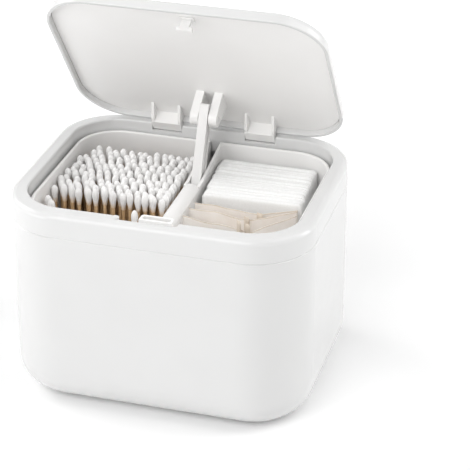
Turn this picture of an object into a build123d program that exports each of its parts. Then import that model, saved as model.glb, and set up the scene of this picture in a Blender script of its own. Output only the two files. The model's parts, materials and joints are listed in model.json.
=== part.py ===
from build123d import *
import math
import os
import random

# Cotton pad dispenser: a box whose hinged lid lifts a two-compartment tray.
# Millimetres. X is to the right, Y to the back, Z up. The origin is the middle of the foot.
# It is modelled open: lid up, tray raised.

# Case
width = 175.0
depth = 140.0
plan_corner = 35.0
wall = 3.0
foot_proud = 0.8
foot_round = 19.5
parting_height = 109.0
ring_height = 14.0
shoulder_round = 3.5
parting_chamfer = 0.4

# Opening of the ring
band_side = 9.0
band_front = 10.5
band_rear = 9.0
opening_corner = 26.0
ring_top_thick = 3.2
ring_skirt = 2.2
opening_edge_round = 1.0
tongue_thick = 2.0
tongue_depth = 7.0
tongue_gap = 0.15
tongue_length_side = 44.0
tongue_length_front = 60.0

# Finger notch in the ring's front, and the bead at its left end
notch_left = -20.5
notch_right = 17.5
notch_depth = 3.0
notch_reach = 5.0
notch_bead_radius = 2.2
notch_bead_x = -18.4
notch_bead_gap = 0.2

# Catch in the ring's front
catch_middle = 3.5
catch_width = 19.0
catch_height = 2.6
catch_bar = 1.5
catch_reach = 6.4
catch_drop = 0.8
catch_corner = 2.0
catch_edge_round = 0.4

# Lid
lid_gap = 0.25
lid_lap_side = 2.75
lid_lap_front = 1.5
lid_lap_rear = 1.0
lid_thick = 7.5
lid_skin = 1.8
lid_rim = 2.2
lid_edge_round = 4.0
lid_lip_round = 0.6
liner_gap = 0.2
liner_thick = 2.0
liner_roof_gap = 0.1
open_angle = 54.0

# Hinges
hinge_behind_opening = 2.6
hinge_below_top = 2.6
knuckle_radius = 2.0
hinge_pin_radius = 1.0
hinge_spacing = 28.9
knuckle_width = 18.1
hinge_notch_gap = 0.25
rib_thick = 1.7
rib_reach = 15.0
rib_knee_reach = 6.0
rib_knee_rise = 1.6
tab_knee_in = 0.4
tab_thick = 2.2
tab_knee_rise = 0.8
knuckle_under_rim = 0.6
root_overlap = 0.5
hinge_notch_front = 5.0
pin_seat_length = 4.0
boss_margin = 2.0
running_gap = 0.06
seat_gap = 0.02

# Arm between lid and tray, with its pins placed in the open pose
arm_thick = 5.4
arm_width = 10.0
arm_top_before_hinge = 25.1
arm_top_above_hinge = 20.6
arm_low_before_hinge = 44.6
arm_low_below_rim = 19.5
arm_head = 8.0
arm_head_corner = 2.0
arm_recess = 0.8
arm_recess_width = 5.6
arm_pin_radius = 1.5
ear_thick = 4.9
ear_gap = 0.4
ear_end_radius = 4.8
ear_root_near = 20.0
ear_root_far = 34.5
ear_pin_proud = 0.3
trunnion_depth = 1.2
trunnion_gap = 0.15
slot_half_travel = 2.65
slot_half_rise = 0.75

# Latch hook
hook_middle = 3.5
hook_from_front = 11.5
hook_stem_width = 5.2
hook_stem_thick = 2.2
hook_head_width = 9.0
hook_head_height = 2.2
hook_head_thick = 3.0
hook_drop = 4.6
hook_foot_width = 8.0
hook_foot_thick = 1.0
hook_foot_lip = 1.0
hook_head_chamfer = 0.7
hook_slot_gap = 0.1
window_width = 5.2
window_length = 2.0
window_offset = 5.5

# Tray
tray_gap_side = 1.5
tray_gap_front = 1.0
tray_gap_rear = 1.3
tray_rim_below_ring = 6.5
tray_lift = 31.2
tray_floor_gap = 1.0
tray_wall = 2.0
tray_floor = 2.2
tray_foot_round = 9.0
tray_rim_round = 0.8
compartment_foot_round = 1.2
divider_middle = 2.0
divider_width = 9.6
divider_corner = 5.0
divider_drop = 6.5
channel_width = 6.4
channel_before_arm = 8.4
channel_level_length = 6.0
channel_floor_depth = 28.5
channel_floor_thick = 2.0
divider_core_inset = 8.5
cap_seat_depth = 2.5
cap_crown = 1.6
cap_spine_depth = 7.0
cap_spine_gap = 0.2
cap_spine_overlap = 0.2

# Guide rails
rail_width = 18.0
rail_gap = 0.6
rail_edge_chamfer = 0.5
rail_groove_depth = 3.2
rail_groove_width = 6.2
lug_width = 5.6
lug_proud = 3.4
lug_root = 0.5
lug_above_tray_foot = 20.0
lug_height = 24.0
lug_stop_gap = 0.3
keeper_gap = 0.3
keeper_thick = 2.0
keeper_proud = 4.0
ledge_thick = 1.7

# Foot pads
pad_radius = 6.0
pad_thick = 1.8
pad_x = 55.0
pad_y = 38.0

# Swabs
swab_length = 75.0
swab_head_radius = 2.15
swab_head_length = 11.0
swab_head_fullest = 7.2
swab_neck_radius = 1.25
swab_stick_radius = 1.1
swab_wall_gap = 0.85
swab_divider_gap = 2.0
swab_rear_gap = 12.2
swab_bunch_depth = 59.5
swab_pitch = 5.0
swab_spacing = 4.6
swab_shake = 1.2
swab_lift = 0.6
spread_rounds = 80
rest_gap = 0.3

# Two swabs lean to the left wall: where their feet stand, and how far their tips lean
lean_foot_in = (9.0, 14.0)
lean_foot_before = (7.0, 11.5)
lean_left = (6.3, 7.6)
lean_forward = 6.0

# One swab slants back in front of the rows: where its foot stands, and where its tip ends
slant_foot_in = 11.8
slant_foot_behind_wall = 6.9
slant_right = -8.0
slant_tip_before_row = 5.0

# Cotton pads
pad_count = 22
cotton_height = 72.0
cotton_thick = 1.9
cotton_corner = 3.0
cotton_side_gap = 0.5
cotton_right_gap = 8.7
cotton_corner_gap = 0.28
cotton_pitch_left = 2.25
cotton_pitch_right = 2.19
cotton_drift = 0.14

# Sachets
sachet_thick = 2.4
sachet_height = 70.5
sachet_left_gap = (2.0, 0.8, 0.7)
sachet_right_gap = (7.5, 7.0, 6.5)
sachet_crease_share = (0.676, 0.637, 0.697)
sachet_left_before = (8.4, 15.4, 26.4)
sachet_crease_before = (12.7, 21.0, 34.8)
sachet_right_before = (1.3, 4.5, 8.4)

ring_top = parting_height + ring_height
opening_width = width - 2 * band_side
opening_length = depth - band_front - band_rear
opening_middle = (band_front - band_rear) / 2
opening_front = -depth / 2 + band_front
opening_rear = depth / 2 - band_rear
hinge_y = opening_rear + hinge_behind_opening
hinge_z = ring_top - hinge_below_top
lid_floor = ring_top + lid_gap
lid_width = opening_width + 2 * lid_lap_side
lid_rear = opening_rear + lid_lap_rear
lid_front = opening_front - lid_lap_front
lid_corner = opening_corner + lid_lap_side
liner_face = lid_floor + lid_thick - lid_skin - liner_roof_gap - liner_thick
tray_top = ring_top - tray_rim_below_ring
tray_bottom = foot_proud + wall + tray_floor_gap + tray_lift
tray_front = opening_front + tray_gap_front
tray_rear = opening_rear - tray_gap_rear
tray_half = opening_width / 2 - tray_gap_side
tray_corner = opening_corner - tray_gap_side
divider_top = tray_top - divider_drop
divider_left = divider_middle - divider_width / 2
divider_right = divider_middle + divider_width / 2
floor_top = tray_bottom + tray_floor
contents_bottom = floor_top + rest_gap
inner_half = tray_half - tray_wall
inner_front = tray_front + tray_wall
inner_rear = tray_rear - tray_wall
inner_corner = tray_corner - tray_wall
cotton_width = inner_half - divider_right - cotton_side_gap - cotton_right_gap
arm_top_y = hinge_y - arm_top_before_hinge
arm_top_z = hinge_z + arm_top_above_hinge
arm_low_y = hinge_y - arm_low_before_hinge
arm_low_z = tray_top - arm_low_below_rim
channel_front = arm_low_y - channel_before_arm
rail_bottom = foot_proud + foot_round + ledge_thick
rail_top = parting_height - tongue_depth - rest_gap
lug_bottom = tray_bottom + lug_above_tray_foot
swab_left = -inner_half + swab_wall_gap + swab_head_radius
swab_right = divider_left - swab_divider_gap - swab_head_radius
swab_rear_row = inner_rear - swab_rear_gap
swab_front_row = swab_rear_row - swab_bunch_depth
swab_corner = inner_corner - swab_wall_gap - swab_head_radius


def rounded_block(size_x, size_y, corner, bottom, top, middle_y=0.0):
    """Upright block with round plan corners."""
    outline = Pos(0, middle_y, bottom) * RectangleRounded(size_x, size_y, corner)
    return extrude(outline, top - bottom)


def block(x_from, x_to, y_from, y_to, z_from, z_to):
    """Plain box between two corners."""
    size = (x_to - x_from, y_to - y_from, z_to - z_from)
    middle = ((x_from + x_to) / 2, (y_from + y_to) / 2, (z_from + z_to) / 2)
    return Pos(*middle) * Box(*size)


def side_plate(points, x_from, x_to):
    """Plate whose outline is a polygon of (y, z) points, between two x places."""
    outline = make_face(Plane.YZ.offset(x_from) * Polyline(*points, close=True))
    return extrude(outline, x_to - x_from, dir=(1, 0, 0))


def cross_rod(y, z, radius, x_from, x_to):
    """Round rod along X."""
    return Pos((x_from + x_to) / 2, y, z) * Rot(0, 90, 0) * Cylinder(radius, x_to - x_from)


def level_edges(part, height):
    """Edges that lie wholly at one height."""
    return part.edges().filter_by_position(Axis.Z, height - 0.01, height + 0.01)


def opened(part):
    """Turn a lid piece from its closed place to its open one."""
    return part.rotate(Axis((0, hinge_y, hinge_z), (1, 0, 0)), -open_angle)


def closed_place(y, z):
    """Where an open-pose (y, z) point of the lid lies when the lid is closed."""
    angle = math.radians(open_angle)
    along = y - hinge_y
    up = z - hinge_z
    turned_y = along * math.cos(angle) - up * math.sin(angle)
    turned_z = along * math.sin(angle) + up * math.cos(angle)
    return hinge_y + turned_y, hinge_z + turned_z


def both_sides():
    """The signs of the right and left side."""
    return (1, -1)


def make_outer_shell():
    shell = rounded_block(width, depth, plan_corner, foot_proud, parting_height)
    shell = fillet(level_edges(shell, foot_proud), foot_round)
    shell = chamfer(level_edges(shell, parting_height), parting_chamfer)
    cavity_floor = foot_proud + wall
    cavity_top = parting_height + wall
    cavity_corner = plan_corner - wall
    cavity = rounded_block(width - 2 * wall, depth - 2 * wall, cavity_corner, cavity_floor, cavity_top)
    cavity = fillet(level_edges(cavity, cavity_floor), foot_round - wall)
    shell = shell - cavity
    wall_face = width / 2 - wall
    for side in both_sides():
        for end in both_sides():
            edge = end * (rail_width / 2 + keeper_gap)
            far = edge + end * keeper_thick
            keeper = block(
                min(side * wall_face, side * (wall_face - keeper_proud)),
                max(side * wall_face, side * (wall_face - keeper_proud)),
                min(edge, far),
                max(edge, far),
                rail_bottom - ledge_thick,
                rail_top,
            )
            shell = shell + keeper
        reach = rail_width / 2 + keeper_gap + keeper_thick
        ledge = block(
            min(side * wall_face, side * (wall_face - keeper_proud)),
            max(side * wall_face, side * (wall_face - keeper_proud)),
            -reach,
            reach,
            rail_bottom - ledge_thick,
            rail_bottom,
        )
        shell = shell + ledge
    for x, y in foot_places():
        recess_depth = pad_thick - foot_proud
        shell = shell - Pos(x, y, foot_proud + recess_depth / 2) * Cylinder(pad_radius, recess_depth)
    return shell


def foot_places():
    """Middles of the four foot pads."""
    return [(x * pad_x, y * pad_y) for x in both_sides() for y in both_sides()]


def make_foot_pads():
    return [Pos(x, y, pad_thick / 2) * Cylinder(pad_radius, pad_thick) for x, y in foot_places()]


def make_guide_rail(side):
    outer = width / 2 - wall
    inner = tray_half + rail_gap
    rail = block(inner, outer, -rail_width / 2, rail_width / 2, rail_bottom, rail_top)
    groove_top = lug_bottom + lug_height + lug_stop_gap
    groove = block(
        inner - 1,
        inner + rail_groove_depth,
        -rail_groove_width / 2,
        rail_groove_width / 2,
        rail_bottom - 1,
        groove_top,
    )
    rail = rail - groove
    rail = chamfer(rail.faces().sort_by(Axis.X)[0].edges().filter_by(Axis.Y), rail_edge_chamfer)
    return rail if side > 0 else mirror(rail, Plane.YZ)


def make_top_ring():
    ring = rounded_block(width, depth, plan_corner, parting_height, ring_top)
    ring = fillet(level_edges(ring, ring_top), shoulder_round)
    ring = chamfer(level_edges(ring, parting_height), parting_chamfer)
    opening = rounded_block(
        opening_width,
        opening_length,
        opening_corner,
        parting_height - 1,
        ring_top + 1,
        opening_middle,
    )
    ring = ring - opening
    inner_rim = [edge for edge in level_edges(ring, ring_top) if is_opening_edge(edge)]
    ring = fillet(inner_rim, opening_edge_round)
    ring = ring - make_ring_hollow()
    ring = ring + make_ring_tongues()
    ring = ring - make_hinge_notches()
    notch_front = opening_front - notch_reach
    notch = block(
        notch_left,
        notch_right,
        notch_front,
        opening_front + 1,
        ring_top - notch_depth,
        ring_top + 1,
    )
    notch = fillet(notch.faces().sort_by(Axis.Y)[0].edges().filter_by(Axis.Z), notch_depth)
    ring = ring - notch
    bead_low = ring_top - notch_depth
    bead_y = opening_front - notch_bead_radius - notch_bead_gap
    bead = Pos(notch_bead_x, bead_y, bead_low + notch_depth / 2) * Cylinder(notch_bead_radius, notch_depth)
    ring = ring + bead
    return ring


def is_opening_edge(edge):
    """True for a ring edge that borders the opening and not the outer shoulder."""
    box = edge.bounding_box()
    inside_x = max(abs(box.min.X), abs(box.max.X)) <= opening_width / 2 + 0.1
    inside_y = box.min.Y >= opening_front - 0.1 and box.max.Y <= opening_rear + 0.1
    return inside_x and inside_y


def make_ring_hollow():
    """The hollow under the ring's band, left solid at the hinges and at the catch."""
    low = parting_height - 1
    high = ring_top - ring_top_thick
    hollow = rounded_block(width - 2 * wall, depth - 2 * wall, plan_corner - wall, low, high)
    core = rounded_block(
        opening_width + 2 * ring_skirt,
        opening_length + 2 * ring_skirt,
        opening_corner + ring_skirt,
        low - 1,
        high + 1,
        opening_middle,
    )
    hollow = hollow - core
    half_boss = knuckle_width / 2 + hinge_notch_gap + pin_seat_length + boss_margin
    for side in both_sides():
        middle = side * hinge_spacing
        hollow = hollow - block(middle - half_boss, middle + half_boss, 0, depth, low - 1, high + 1)
    front_half = catch_width / 2 + boss_margin
    notch_low = min(notch_left, catch_middle - front_half) - boss_margin
    notch_high = max(notch_right, catch_middle + front_half) + boss_margin
    hollow = hollow - block(notch_low, notch_high, -depth, 0, low - 1, high + 1)
    return hollow


def make_ring_tongues():
    """Short walls under the ring that locate it inside the shell."""
    outer_x = width / 2 - wall - tongue_gap
    outer_y = depth / 2 - wall - tongue_gap
    low = parting_height - tongue_depth
    high = ring_top - ring_top_thick
    tongues = []
    for side in both_sides():
        x_a = side * outer_x
        x_b = side * (outer_x - tongue_thick)
        half = tongue_length_side / 2
        tongues.append(block(min(x_a, x_b), max(x_a, x_b), -half, half, low, high))
        y_a = side * outer_y
        y_b = side * (outer_y - tongue_thick)
        half = tongue_length_front / 2
        tongues.append(block(-half, half, min(y_a, y_b), max(y_a, y_b), low, high))
    return tongues


def make_hinge_notches():
    """Pockets for the lid's knuckles, with the bores of the hinge pins."""
    half = knuckle_width / 2 + hinge_notch_gap
    notches = []
    for side in both_sides():
        middle = side * hinge_spacing
        pocket_low = hinge_z - knuckle_radius - hinge_notch_gap
        pocket_rear = hinge_y + knuckle_radius + hinge_notch_gap
        pocket_front = opening_rear - hinge_notch_front
        notches.append(
            block(middle - half, middle + half, pocket_front, pocket_rear, pocket_low, ring_top + 1)
        )
        reach = half + pin_seat_length
        bore = cross_rod(hinge_y, hinge_z, hinge_pin_radius + seat_gap, middle - reach, middle + reach)
        notches.append(bore)
    return notches


def make_hinge_pins():
    reach = knuckle_width / 2 + hinge_notch_gap + pin_seat_length - seat_gap
    pins = []
    for side in both_sides():
        middle = side * hinge_spacing
        pins.append(cross_rod(hinge_y, hinge_z, hinge_pin_radius, middle - reach, middle + reach))
    return pins


def make_front_catch():
    """U-shaped loop that stands out from the ring's front into the opening."""
    top = ring_top - catch_drop
    low = top - catch_height
    left = catch_middle - catch_width / 2
    right = catch_middle + catch_width / 2
    rear = opening_front + catch_reach
    loop = block(left, right, opening_front, rear, low, top)
    loop = fillet(loop.faces().sort_by(Axis.Y)[-1].edges().filter_by(Axis.Z), catch_corner)
    hole = block(
        left + catch_bar,
        right - catch_bar,
        opening_front + catch_bar,
        rear - catch_bar,
        low - 1,
        top + 1,
    )
    loop = loop - hole
    loop = fillet(level_edges(loop, top), catch_edge_round)
    return loop


def make_lid_cover():
    lid_length = lid_rear - lid_front
    middle = (lid_rear + lid_front) / 2
    top = lid_floor + lid_thick
    cover = rounded_block(lid_width, lid_length, lid_corner, lid_floor, top, middle)
    cover = fillet(level_edges(cover, top), lid_edge_round)
    cavity = rounded_block(
        lid_width - 2 * lid_rim,
        lid_length - 2 * lid_rim,
        lid_corner - lid_rim,
        lid_floor - 1,
        top - lid_skin,
        middle,
    )
    cover = cover - cavity
    cover = fillet(level_edges(cover, lid_floor), lid_lip_round)
    return opened(cover)


def make_lid_liner():
    inset = lid_rim + liner_gap
    liner_top = liner_face + liner_thick
    liner = rounded_block(
        lid_width - 2 * inset,
        lid_rear - lid_front - 2 * inset,
        lid_corner - inset,
        liner_face,
        liner_top,
        (lid_rear + lid_front) / 2,
    )
    for side in both_sides():
        liner = liner + make_knuckle(side * hinge_spacing)
        liner = liner - cross_rod(
            hinge_y,
            hinge_z,
            hinge_pin_radius + running_gap,
            side * hinge_spacing - knuckle_width,
            side * hinge_spacing + knuckle_width,
        )
        liner = liner + make_ear(side)
    pin_y, pin_z = closed_place(arm_top_y, arm_top_z)
    pin_reach = arm_thick / 2 + ear_gap + ear_thick + 1
    bore_from = divider_middle - pin_reach
    bore_to = divider_middle + pin_reach
    liner = liner - cross_rod(pin_y, pin_z, arm_pin_radius + seat_gap, bore_from, bore_to)
    liner = liner - make_hook_slot()
    window_y = hook_y() - window_offset
    liner = liner - block(
        hook_middle - window_width / 2,
        hook_middle + window_width / 2,
        window_y - window_length / 2,
        window_y + window_length / 2,
        liner_face - 1,
        liner_top + 1,
    )
    return opened(liner)


def make_knuckle(middle):
    """Two ribs and the tab between them, round the hinge axis."""
    root = liner_face + root_overlap
    rear_face = lid_rear - lid_rim - liner_gap
    knuckle_low = hinge_z - knuckle_radius
    axis_side = [(hinge_y, hinge_z + knuckle_radius), (hinge_y, knuckle_low)]
    rib_outline = [
        *axis_side,
        (lid_rear - rib_knee_reach, knuckle_low + rib_knee_rise),
        (lid_rear - rib_reach, root),
        (rear_face, root),
        (rear_face, lid_floor - knuckle_under_rim),
    ]
    tab_outline = [
        *axis_side,
        (rear_face - tab_thick + tab_knee_in, knuckle_low + tab_knee_rise),
        (rear_face - tab_thick, root),
        (rear_face, root),
        (rear_face, lid_floor - knuckle_under_rim),
    ]
    low = middle - knuckle_width / 2
    high = middle + knuckle_width / 2
    knuckle = cross_rod(hinge_y, hinge_z, knuckle_radius, low, high)
    knuckle = knuckle + side_plate(tab_outline, low, high)
    knuckle = knuckle + side_plate(rib_outline, low, low + rib_thick)
    knuckle = knuckle + side_plate(rib_outline, high - rib_thick, high)
    return knuckle


def make_ear(side):
    """Fin that holds one end of the arm's top pin."""
    pin_y, pin_z = closed_place(arm_top_y, arm_top_z)
    near = lid_rear - ear_root_near
    far = lid_rear - ear_root_far
    inner = arm_thick / 2 + ear_gap
    x_from = divider_middle + (inner if side > 0 else -inner - ear_thick)
    outline = [
        (near, liner_face + root_overlap),
        (pin_y + ear_end_radius, pin_z),
        (pin_y - ear_end_radius, pin_z),
        (far, liner_face + root_overlap),
    ]
    ear = side_plate(outline, x_from, x_from + ear_thick)
    ear = ear + cross_rod(pin_y, pin_z, ear_end_radius, x_from, x_from + ear_thick)
    return ear


def hook_y():
    """Middle of the hook's stem in the closed pose."""
    return lid_front + hook_from_front


def make_hook_slot():
    half_x = hook_stem_width / 2 + hook_slot_gap
    half_y = hook_stem_thick / 2 + hook_slot_gap
    return block(
        hook_middle - half_x,
        hook_middle + half_x,
        hook_y() - half_y,
        hook_y() + half_y,
        liner_face - 1,
        liner_face + liner_thick + 1,
    )


def make_latch_hook():
    """Hook with a wide head, its stem set in the liner's slot."""
    stem_low = lid_floor - hook_drop
    half = hook_stem_thick / 2
    stem = block(
        hook_middle - hook_stem_width / 2,
        hook_middle + hook_stem_width / 2,
        hook_y() - half,
        hook_y() + half,
        stem_low,
        liner_face + liner_thick - hook_slot_gap,
    )
    foot = block(
        hook_middle - hook_foot_width / 2,
        hook_middle + hook_foot_width / 2,
        hook_y() - half - hook_foot_lip,
        hook_y() + half + hook_foot_lip,
        liner_face - hook_foot_thick,
        liner_face,
    )
    head = block(
        hook_middle - hook_head_width / 2,
        hook_middle + hook_head_width / 2,
        hook_y() - half,
        hook_y() - half + hook_head_thick,
        stem_low,
        stem_low + hook_head_height,
    )
    head = chamfer(head.faces().sort_by(Axis.Z)[0].edges().filter_by(Axis.X), hook_head_chamfer)
    return opened(stem + foot + head)


def make_arm_top_pin():
    reach = arm_thick / 2 + ear_gap + ear_thick + ear_pin_proud
    return cross_rod(arm_top_y, arm_top_z, arm_pin_radius, divider_middle - reach, divider_middle + reach)


def make_lift_arm():
    """Straight bar, built upright on its low pin and then leaned to the top pin."""
    rise = arm_top_z - arm_low_z
    run = arm_top_y - arm_low_y
    length = math.hypot(rise, run)
    half = arm_width / 2
    bar = block(-arm_thick / 2, arm_thick / 2, -half, half, 0, length + arm_head)
    bar = fillet(bar.faces().sort_by(Axis.Z)[-1].edges().filter_by(Axis.X), arm_head_corner)
    bar = bar + cross_rod(0, 0, half, -arm_thick / 2, arm_thick / 2)
    for side in both_sides():
        outer = side * arm_thick / 2
        inner = outer - side * arm_recess
        recess = block(
            min(outer, inner) - (side < 0),
            max(outer, inner) + (side > 0),
            -arm_recess_width / 2,
            arm_recess_width / 2,
            half,
            length - half,
        )
        bar = bar - recess
    bar = bar - cross_rod(0, 0, arm_pin_radius + seat_gap, -arm_thick, arm_thick)
    bar = bar - cross_rod(0, length, arm_pin_radius + running_gap, -arm_thick, arm_thick)
    lean = math.degrees(math.atan2(run, rise))
    return Pos(divider_middle, arm_low_y, arm_low_z) * Rot(-lean, 0, 0) * bar


def make_arm_low_pin():
    reach = channel_width / 2 + trunnion_depth - trunnion_gap
    return cross_rod(arm_low_y, arm_low_z, arm_pin_radius, divider_middle - reach, divider_middle + reach)


def make_tray():
    tray = rounded_block(
        2 * tray_half,
        tray_rear - tray_front,
        tray_corner,
        tray_bottom,
        tray_top,
        (tray_front + tray_rear) / 2,
    )
    tray = fillet(level_edges(tray, tray_bottom), tray_foot_round)
    for side in both_sides():
        tray = tray - make_compartment(side)
    tray = fillet(level_edges(tray, tray_top), tray_rim_round)
    tray = tray - make_divider_dip()
    left = divider_middle - channel_width / 2
    right = divider_middle + channel_width / 2
    channel_low = tray_top - channel_floor_depth
    tray = tray - block(left, right, channel_front, tray_rear + 1, channel_low, tray_top + 1)
    cap_low = divider_top - cap_seat_depth
    spine_low = cap_low - cap_spine_depth - cap_spine_gap
    tray = tray - block(left, right, inner_front, channel_front + 1, spine_low, tray_top + 1)
    tray = tray - block(divider_left, divider_right, inner_front, channel_front, cap_low, tray_top + 1)
    core_top = channel_low - channel_floor_thick
    core_front = tray_front + divider_core_inset
    core_rear = tray_rear - divider_core_inset
    tray = tray - block(left, right, core_front, core_rear, tray_bottom - 1, core_top)
    tray = tray - block(
        left - trunnion_depth,
        right + trunnion_depth,
        arm_low_y - slot_half_travel - arm_pin_radius,
        arm_low_y + slot_half_travel + arm_pin_radius,
        arm_low_z - slot_half_rise - arm_pin_radius,
        arm_low_z + slot_half_rise + arm_pin_radius,
    )
    for side in both_sides():
        near = side * (tray_half - lug_root)
        far = side * (tray_half + lug_proud)
        tray = tray + block(
            min(near, far),
            max(near, far),
            -lug_width / 2,
            lug_width / 2,
            lug_bottom,
            lug_bottom + lug_height,
        )
    return tray


def make_divider_dip():
    """What is missing above the divider, which is lower than the rim and climbs to it at the rear."""
    level_end = channel_front + channel_level_length
    side_view = [
        (inner_front, tray_top + 1),
        (inner_front, divider_top),
        (level_end, divider_top),
        (inner_rear, tray_top),
        (inner_rear, tray_top + 1),
    ]
    return side_plate(side_view, divider_left, divider_right)


def make_compartment(side):
    """The hollow of one compartment, rounded at the channel and along its floor."""
    hollow = rounded_block(
        2 * inner_half,
        inner_rear - inner_front,
        inner_corner,
        floor_top,
        tray_top + 1,
        (inner_front + inner_rear) / 2,
    )
    inner = divider_middle + side * divider_width / 2
    outer = side * width
    hollow = hollow & block(min(inner, outer), max(inner, outer), -depth, depth, 0, 2 * ring_top)
    inner_face = hollow.faces().sort_by(Axis.X)[0 if side > 0 else -1]
    hollow = fillet(inner_face.edges().filter_by(Axis.Z), divider_corner)
    hollow = fillet(level_edges(hollow, floor_top), compartment_foot_round)
    return hollow


def make_channel_cover():
    """Round-backed cap over the front of the channel, with a spine that sits between its walls."""
    low = divider_top - cap_seat_depth
    front = inner_front + cap_spine_gap
    rear = channel_front - cap_spine_gap
    crown = divider_top + cap_crown
    shoulder = divider_top - cap_crown
    left = divider_left
    right = divider_right
    profile = make_face(
        [
            Line((left, front, low), (right, front, low)),
            Line((right, front, low), (right, front, shoulder)),
            ThreePointArc((right, front, shoulder), (divider_middle, front, crown), (left, front, shoulder)),
            Line((left, front, shoulder), (left, front, low)),
        ]
    )
    cap = extrude(profile, rear - front, dir=(0, 1, 0))
    half_spine = channel_width / 2 - cap_spine_gap
    spine = block(
        divider_middle - half_spine,
        divider_middle + half_spine,
        front,
        rear,
        low - cap_spine_depth,
        low + cap_spine_overlap,
    )
    return cap + spine


def swab_head(flip=False):
    """Cotton bulb on the stick's end, with its neck face at z = 0."""
    top = swab_head_length
    fullest = (swab_head_radius, 0, swab_head_fullest)
    outline = [
        Line((0, 0, 0), (swab_neck_radius, 0, 0)),
        Line((swab_neck_radius, 0, 0), fullest),
        Spline(fullest, (0, 0, top), tangents=[(0, 0, 1), (-1, 0, 0)]),
        Line((0, 0, top), (0, 0, 0)),
    ]
    bulb = revolve(make_face(outline), Axis.Z)
    return mirror(bulb, Plane.XY) if flip else bulb


def swab_stick():
    """Stick between the necks of its two bulbs, from z = 0."""
    length = swab_length - 2 * swab_head_length
    return Pos(0, 0, length / 2) * Cylinder(swab_stick_radius, length)


def swab_place(foot, tip):
    """Location that stands a swab on its foot point and points it at its tip."""
    direction = Vector(*tip) - Vector(*foot)
    return Plane(origin=foot, z_dir=direction.normalized()).location


def make_swabs(places):
    """Sticks and bulbs of the swabs at the given places."""
    sticks = []
    heads = []
    low_head = swab_head(flip=True)
    top_head = swab_head()
    stick = swab_stick()
    for place in places:
        sticks.append(place * Pos(0, 0, swab_head_length) * stick)
        heads.append(place * Pos(0, 0, swab_head_length) * low_head)
        heads.append(place * Pos(0, 0, swab_length - swab_head_length) * top_head)
    return sticks, heads


def inside_bunch(x, y):
    """The nearest place to (x, y) in the bunch, whose left rear corner is round as the tray's is."""
    x = min(max(x, swab_left), swab_right)
    y = min(max(y, swab_front_row), swab_rear_row)
    corner_x = swab_left + swab_corner
    corner_y = swab_rear_row - swab_corner
    off = math.hypot(x - corner_x, y - corner_y)
    if x < corner_x and y > corner_y and off > swab_corner:
        x = corner_x + (x - corner_x) * swab_corner / off
        y = corner_y + (y - corner_y) * swab_corner / off
    return x, y


def push_apart(spots):
    """Move every two spots that are too near each other away from each other."""
    for first in range(len(spots)):
        for second in range(first + 1, len(spots)):
            x_a, y_a = spots[first]
            x_b, y_b = spots[second]
            off = math.hypot(x_b - x_a, y_b - y_a)
            if off < swab_spacing:
                push = 0.5 * (swab_spacing - off) / max(off, rest_gap)
                step_x = push * (x_b - x_a)
                step_y = push * (y_b - y_a)
                spots[first] = inside_bunch(x_a - step_x, y_a - step_y)
                spots[second] = inside_bunch(x_b + step_x, y_b + step_y)


def standing_places():
    """Feet of the standing swabs: rows that are shaken up and then pushed apart until none touch."""
    draw = random.Random(11)
    columns = int((swab_right - swab_left) / swab_pitch) + 1
    rows = int(swab_bunch_depth / swab_pitch) + 1
    corner_x = swab_left + swab_corner
    corner_y = swab_rear_row - swab_corner
    spots = []
    for row in range(rows):
        for column in range(columns):
            x = swab_left + (column + 0.5 * (row % 2)) * swab_pitch
            y = swab_front_row + row * swab_pitch
            past_corner = math.hypot(min(x - corner_x, 0), max(y - corner_y, 0)) > swab_corner
            x += draw.uniform(-swab_shake, swab_shake)
            y += draw.uniform(-swab_shake, swab_shake)
            if not past_corner:
                spots.append(inside_bunch(x, y))
    for _ in range(spread_rounds):
        push_apart(spots)
    return [Location((x, y, contents_bottom + draw.uniform(0, swab_lift))) for x, y in spots]


def slanted_place(foot_x, foot_y, lean_x, lean_y):
    """A swab whose foot is given, and whose tip lies further off by the two leans."""
    foot_z = contents_bottom + rest_gap
    rise = math.sqrt(swab_length**2 - lean_x**2 - lean_y**2)
    return swab_place((foot_x, foot_y, foot_z), (foot_x + lean_x, foot_y + lean_y, foot_z + rise))


def leaning_places():
    """Two swabs that lean into the left front corner."""
    places = []
    for foot_in, foot_before, left in zip(lean_foot_in, lean_foot_before, lean_left):
        foot_x = -inner_half + foot_in
        places.append(slanted_place(foot_x, swab_front_row - foot_before, -left, -lean_forward))
    return places


def low_place():
    """The swab that slants from the front wall to the front row, so its tip is lower than the others."""
    foot_x = divider_left - slant_foot_in
    foot_y = inner_front + slant_foot_behind_wall
    tip_y = swab_front_row - slant_tip_before_row
    return [slanted_place(foot_x, foot_y, slant_right, tip_y - foot_y)]


def cotton_left():
    """The pads stand beside the divider."""
    return divider_right + cotton_side_gap


def cotton_rear():
    """How far back the pads reach before they meet the compartment's round rear corner."""
    past_corner = max(cotton_left() + cotton_width - (inner_half - inner_corner), 0)
    room = inner_corner - cotton_corner_gap
    return inner_rear - inner_corner + math.sqrt(room**2 - past_corner**2)


def make_cotton_pads():
    """Pads on edge, each a little further right and turned a little more than the one behind it."""
    pads = []
    rear_middle = cotton_rear() - cotton_thick / 2
    for index in range(pad_count):
        left_y = rear_middle - index * cotton_pitch_left
        right_y = rear_middle - index * cotton_pitch_right
        turn = math.degrees(math.atan2(right_y - left_y, cotton_width))
        pad = Box(cotton_width, cotton_thick, cotton_height)
        pad = fillet(pad.edges().filter_by(Axis.Y), cotton_corner)
        middle_x = cotton_left() + cotton_width / 2 + index * cotton_drift
        middle_z = contents_bottom + cotton_height / 2
        pads.append(Pos(middle_x, (left_y + right_y) / 2, middle_z) * Rot(0, 0, turn) * pad)
    return pads


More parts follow.
